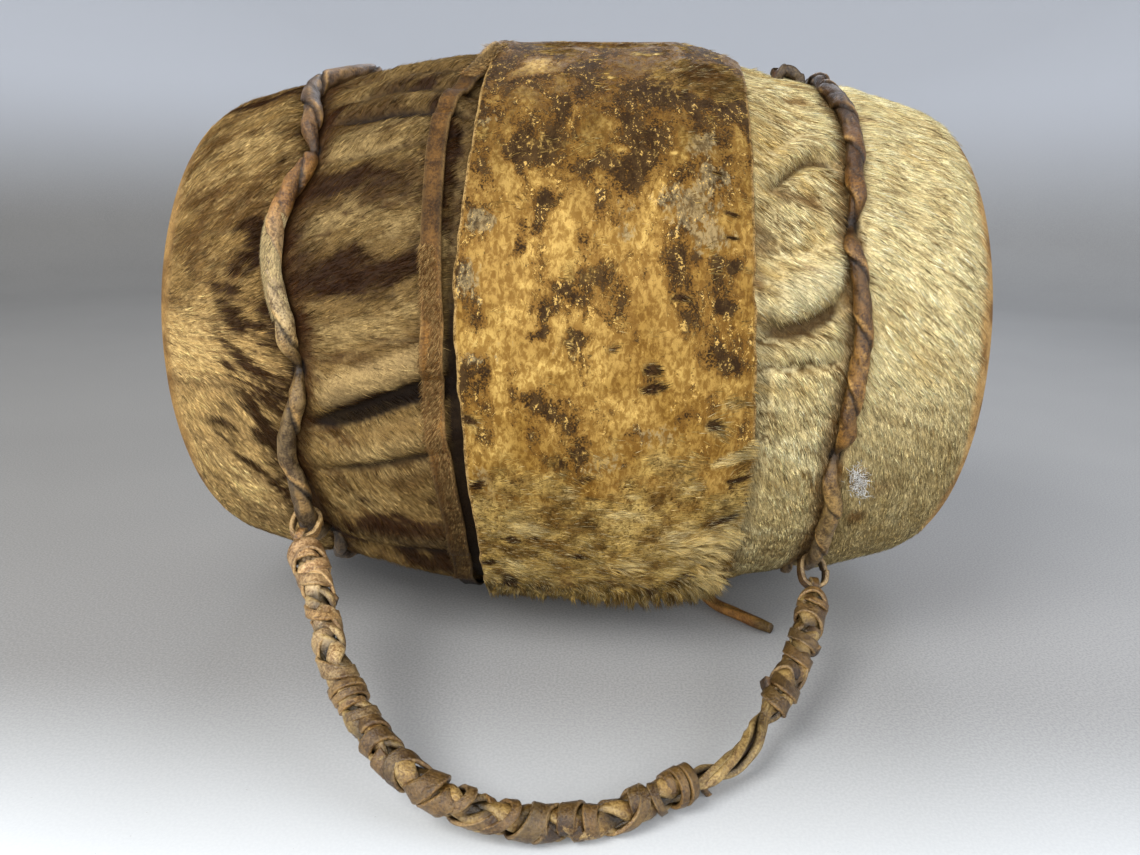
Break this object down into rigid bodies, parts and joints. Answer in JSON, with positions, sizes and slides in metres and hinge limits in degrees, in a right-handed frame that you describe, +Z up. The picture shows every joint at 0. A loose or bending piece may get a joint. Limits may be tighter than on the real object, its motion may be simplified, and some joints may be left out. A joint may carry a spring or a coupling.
{
  "type": "double-headed hide drum",
  "caption": "Hollow wooden barrel drum with a hair-on hide laced over each end, a wide raw hide band round its belly and a stiff wrapped carrying strap.",
  "frame": {"origin": "centre line of the flat worn on the underside of the centre band, below the middle of the drum", "axes": "+X along the drum towards the cream head, -Y the front where the strap lies, +Z up"},
  "size_m": [0.376, 0.3868, 0.2986],
  "materials": {
    "wood": "carved wood, oiled by age",
    "brown_hide": "short brown hair on raw hide",
    "cream_hide": "short cream hair on raw hide",
    "band_hide": "worn raw hide, scraped nearly bare",
    "girth_hide": "flat hide thong with pale cut edges",
    "lacing_hide": "twisted raw hide thong, polished by hands",
    "tail_hide": "rolled raw hide",
    "ring_hide": "thin pale raw hide thong",
    "strap_hide": "braided raw hide strips, worn",
    "wrap_hide": "flat raw hide thong, wound"
  },
  "bodies": {
    "drum": {"wooden_shell": "wood", "brown_head_hide": "brown_hide", "cream_head_hide": "cream_hide", "draw_thong": "girth_hide", "centre_band": "band_hide", "girth_thong": "girth_hide", "left_lacing_thong": "lacing_hide", "right_lacing_thong": "lacing_hide", "right_lacing_end": "lacing_hide", "thong_tail": "tail_hide", "left_anchor_ring": "ring_hide", "right_anchor_ring": "ring_hide"},
    "strap": {"strap_core": "strap_hide", "strap_wrap_1": "wrap_hide", "strap_wrap_2": "wrap_hide", "strap_wrap_3": "wrap_hide", "strap_wrap_4": "wrap_hide", "strap_wrap_5": "wrap_hide", "strap_wrap_6": "wrap_hide", "strap_wrap_7": "wrap_hide", "strap_wrap_8": "wrap_hide", "strap_wrap_9": "wrap_hide"}
  },
  "joints": [
    {"name": "strap_swing", "type": "hinge", "parent": "drum", "child": "strap", "pos_m": [-0.1205, -0.12418, 0.06774], "axis": [-0.9905, -0.0876, 0.1063], "range_deg": [0, 80]}
  ]
}
